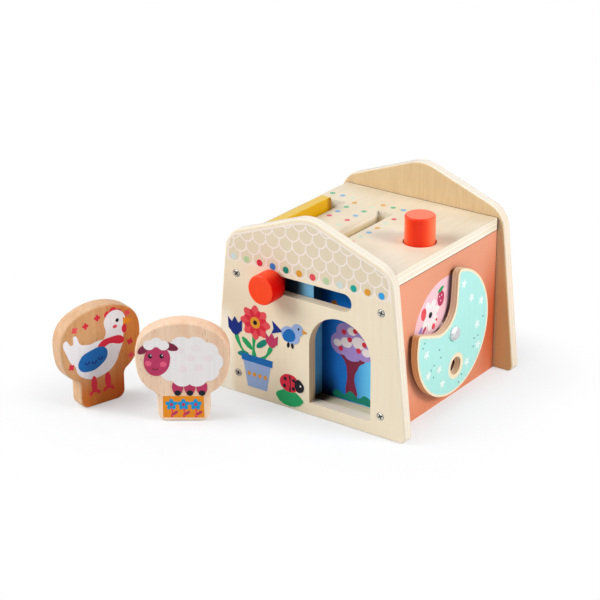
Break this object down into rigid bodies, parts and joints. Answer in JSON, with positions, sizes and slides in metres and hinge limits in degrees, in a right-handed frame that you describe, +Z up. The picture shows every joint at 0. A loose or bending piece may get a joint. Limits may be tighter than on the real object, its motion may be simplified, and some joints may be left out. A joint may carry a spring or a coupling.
{
  "type": "pop up animal toy",
  "caption": "Wooden farmhouse activity toy with a sliding door, pop-up boards in roof slots, a push button, a turning picture disc and loose animal figures.",
  "frame": {"origin": "on the table, under the middle of the house", "axes": "+Z up, -Y out of the front gable with the doorway, +X out of the side wall with the picture disc"},
  "size_m": [0.2471, 0.2679, 0.1561],
  "materials": {
    "plywood": "sanded plywood under clear lacquer",
    "printed_ply": "pale plywood with a printed pattern under clear lacquer",
    "beech": "sanded solid wood",
    "printed_beech": "pale solid wood with a printed animal on its front",
    "wall_paint": "satin terracotta paint on plywood",
    "blue_print": "satin blue paint on thin board",
    "pale_blue_paint": "satin light blue paint on plywood",
    "orange_paint": "glossy red-orange paint on turned wood",
    "yellow_paint": "satin yellow paint on wood",
    "mint_print": "mint print with small flowers on plywood",
    "steel": "zinc-plated steel",
    "rubber": "pale soft rubber",
    "white_plastic": "moulded plastic"
  },
  "bodies": {
    "house": {"front_gable": "printed_ply", "rear_gable": "plywood", "roof_board": "printed_ply", "floor_board": "plywood", "left_wall": "wall_paint", "right_wall": "wall_paint", "backdrop_panel": "blue_print", "inner_partition": "plywood", "button_shelf": "plywood", "front_screws": "steel", "rear_screws": "steel", "bracket_screws": "steel", "guide_dowels": "beech", "guide_spacers": "beech", "front_rocker_bracket": "plywood", "rear_rocker_bracket": "plywood", "rocker_axle": "beech", "squeaker_bellows": "rubber", "squeaker_reed": "white_plastic", "pivot_bolt": "steel", "pivot_washer": "white_plastic", "pivot_nut": "steel"},
    "door": {"sliding_door": "pale_blue_paint", "door_knob": "orange_paint", "door_knob_screw": "steel"},
    "left_riser": {"left_lifter": "yellow_paint"},
    "right_riser": {"right_lifter": "yellow_paint"},
    "rocker": {"rocker_arm": "beech"},
    "button": {"roof_button": "orange_paint", "button_crossbar": "beech", "button_screw": "steel"},
    "disc": {"picture_disc": "mint_print"},
    "sheep": {"sheep_figure": "printed_beech"},
    "chicken": {"chicken_figure": "printed_beech"}
  },
  "joints": [
    {"name": "door_slide", "type": "slide", "parent": "house", "child": "door", "axis": [1, 0, 0], "range_m": [0, 0.06]},
    {"name": "left_lifter_slide", "type": "slide", "parent": "house", "child": "left_riser", "axis": [0, 0, -1], "range_m": [0, 0.02]},
    {"name": "right_lifter_slide", "type": "slide", "parent": "house", "child": "right_riser", "axis": [0, 0, 1], "range_m": [0, 0.02]},
    {"name": "rocker_turn", "type": "hinge", "parent": "house", "child": "rocker", "pos_m": [-0.0289, -0.02035, 0.0615], "axis": [0, -1, 0], "range_deg": [0, 53.1]},
    {"name": "button_press", "type": "slide", "parent": "house", "child": "button", "axis": [0, 0, -1], "range_m": [0, 0.012], "stiffness_N_per_m": 200, "springref_m": -0.003, "deforming": ["squeaker_bellows"]},
    {"name": "disc_turn", "type": "hinge", "parent": "house", "child": "disc", "pos_m": [0.0752, -0.0023, 0.0584], "axis": [1, 0, 0], "continuous": true},
    {"name": "sheep_lift", "type": "slide", "parent": "house", "child": "sheep", "axis": [0, 0, 1], "range_m": [0, 0.15]},
    {"name": "chicken_lift", "type": "slide", "parent": "house", "child": "chicken", "axis": [0, 0, 1], "range_m": [0, 0.15]}
  ],
  "couplings": [
    {"joint": "right_lifter_slide", "follows": "left_lifter_slide", "ratio": 1},
    {"joint": "rocker_turn", "follows": "left_lifter_slide", "rad_per_m": 46.3}
  ]
}
